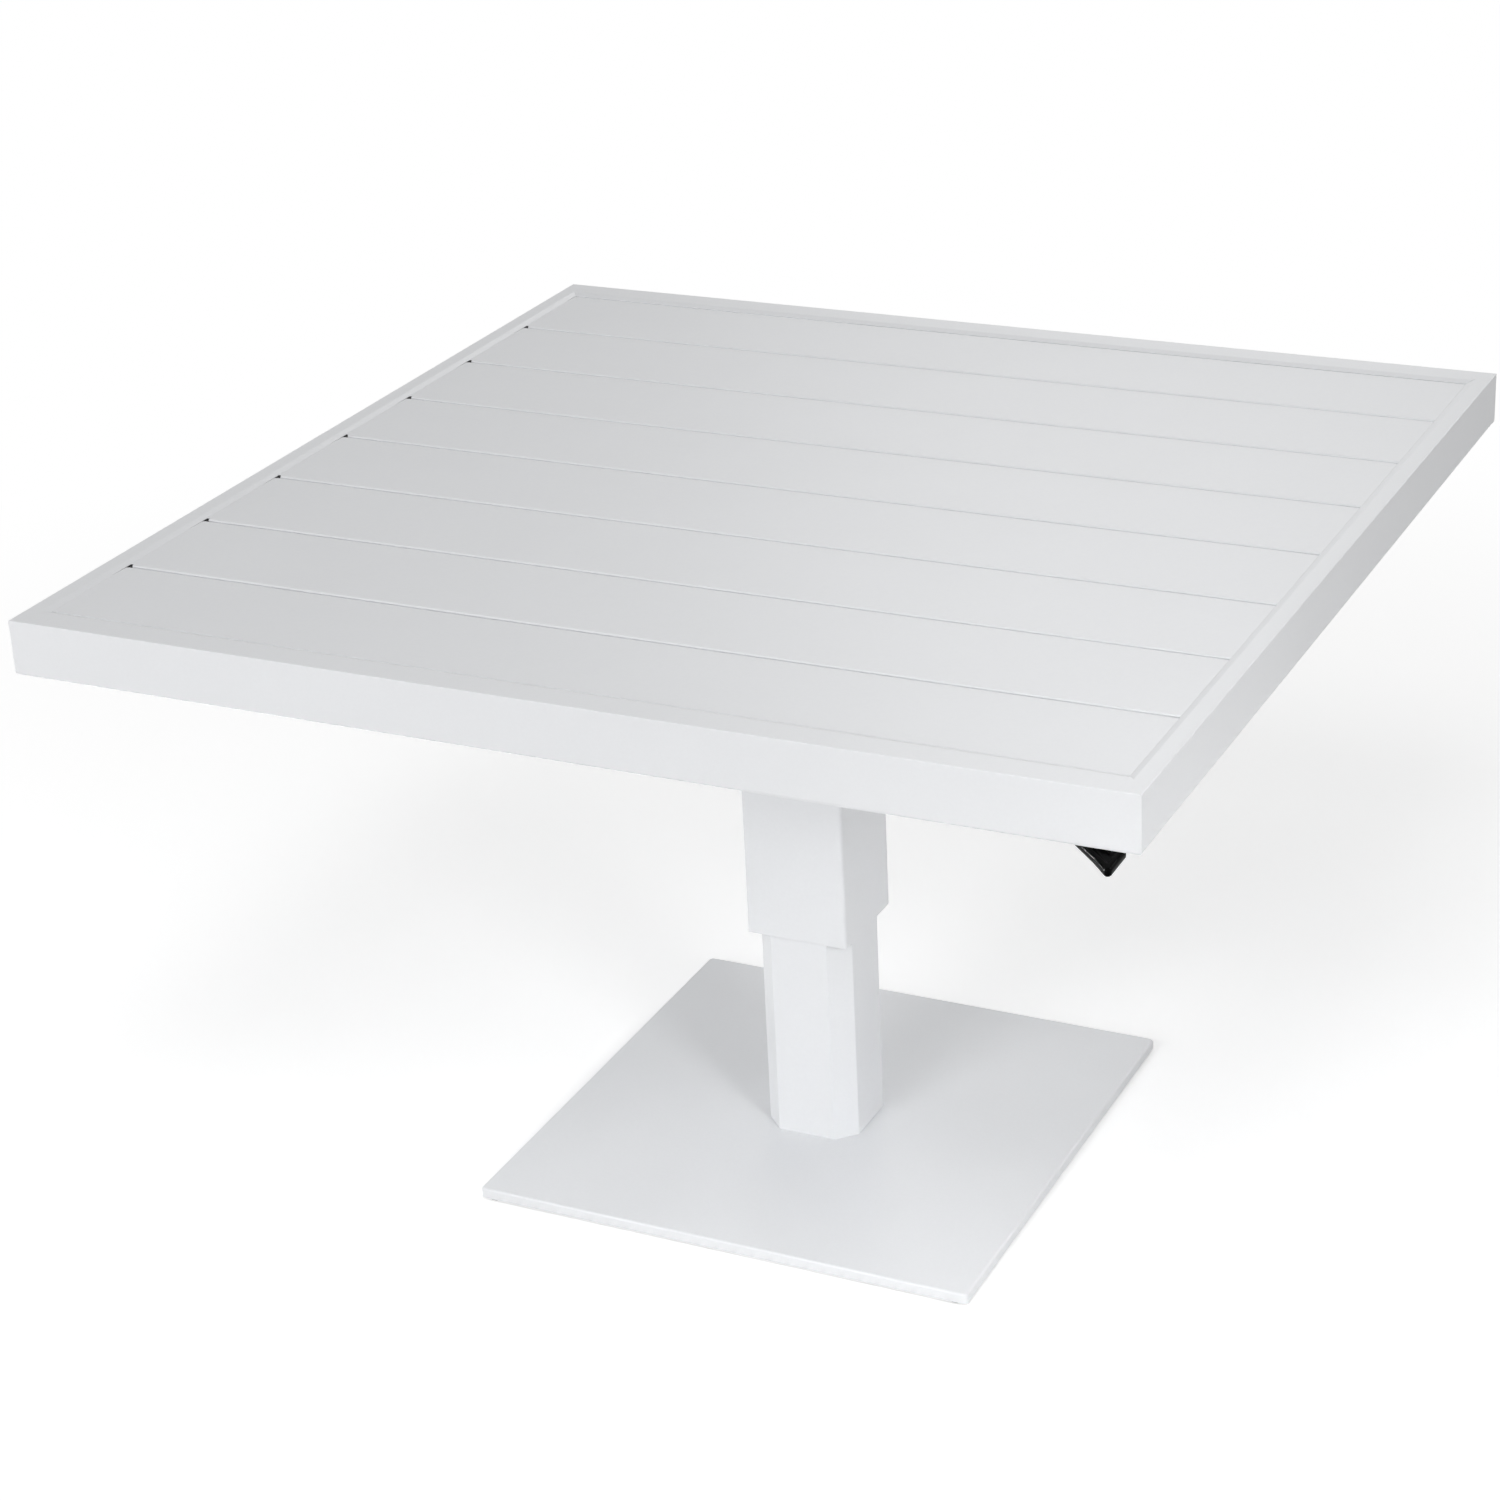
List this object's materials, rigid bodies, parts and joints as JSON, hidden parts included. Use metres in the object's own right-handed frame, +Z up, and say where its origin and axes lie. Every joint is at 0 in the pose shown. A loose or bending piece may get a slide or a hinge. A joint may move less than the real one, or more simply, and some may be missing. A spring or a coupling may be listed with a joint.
{
  "type": "telescoping pedestal table",
  "caption": "Square slatted aluminium table on a telescoping square column with a flat base plate; a lever under one corner unlocks the gas spring that sets the height.",
  "frame": {"origin": "on the floor under the middle of the base plate", "axes": "+X along the slats to the right, +Y to the rear, +Z up; the lever points to the front right corner"},
  "size_m": [1, 1, 0.655],
  "materials": {
    "coated_top": "white powder coat on aluminium, fine satin",
    "coated_column": "white powder coat on steel, fine satin",
    "coated_base": "white powder coat on steel, fine satin",
    "plain_aluminium": "mill finish",
    "zinc_steel": "zinc plated",
    "ground_steel": "ground and plated",
    "black_steel": "black satin enamel",
    "black_nylon": "moulded nylon, matt",
    "seal_rubber": "nitrile rubber",
    "black_grip": "moulded plastic, glossy"
  },
  "bodies": {
    "base": {"base_plate": "coated_base", "base_glides": "black_nylon", "base_bolts": "zinc_steel", "column_foot": "coated_base", "lower_column": "coated_base", "column_top_guide": "black_nylon", "gas_spring_cylinder": "black_steel", "gas_spring_gland": "black_nylon"},
    "top": {"sleeve": "coated_column", "sleeve_bottom_guide": "black_nylon", "mounting_flange": "coated_column", "flange_bolts": "zinc_steel", "beam_rivet_nuts": "zinc_steel", "spring_bracket": "zinc_steel", "bracket_screws": "zinc_steel", "rod_nuts": "zinc_steel", "piston_rod": "ground_steel", "piston": "ground_steel", "piston_seal": "seal_rubber", "fulcrum_bracket": "coated_column", "pivot_pin": "zinc_steel", "pivot_clip": "zinc_steel", "front_rail": "coated_top", "rear_rail": "coated_top", "left_rail": "coated_top", "right_rail": "coated_top", "corner_cleats": "plain_aluminium", "slat_1": "coated_top", "slat_2": "coated_top", "slat_3": "coated_top", "slat_4": "coated_top", "slat_5": "coated_top", "slat_6": "coated_top", "slat_7": "coated_top", "slat_8": "coated_top", "slat_screws": "zinc_steel", "cross_beam_left": "coated_top", "cross_beam_right": "coated_top", "joist_left": "coated_top", "joist_right": "coated_top"},
    "lever": {"lever_arm": "zinc_steel", "lever_rod": "black_steel", "lever_paddle": "black_grip"},
    "valve_pin": {"valve_pin": "ground_steel"}
  },
  "joints": [
    {"name": "lift", "type": "slide", "parent": "base", "child": "top", "axis": [0, 0, 1], "range_m": [-0.2, 0.07]},
    {"name": "lever_pivot", "type": "hinge", "parent": "top", "child": "lever", "pos_m": [0.07778, -0.07778, 0.59], "axis": [-0.7071, -0.7071, 0], "range_deg": [0, 2], "stiffness_Nm_per_rad": 60, "springref_deg": -1.72},
    {"name": "valve_press", "type": "slide", "parent": "top", "child": "valve_pin", "axis": [0, 0, 1], "range_m": [-0.004, 0]}
  ],
  "couplings": [
    {"joint": "valve_press", "follows": "lever_pivot", "m_per_rad": -0.11}
  ]
}
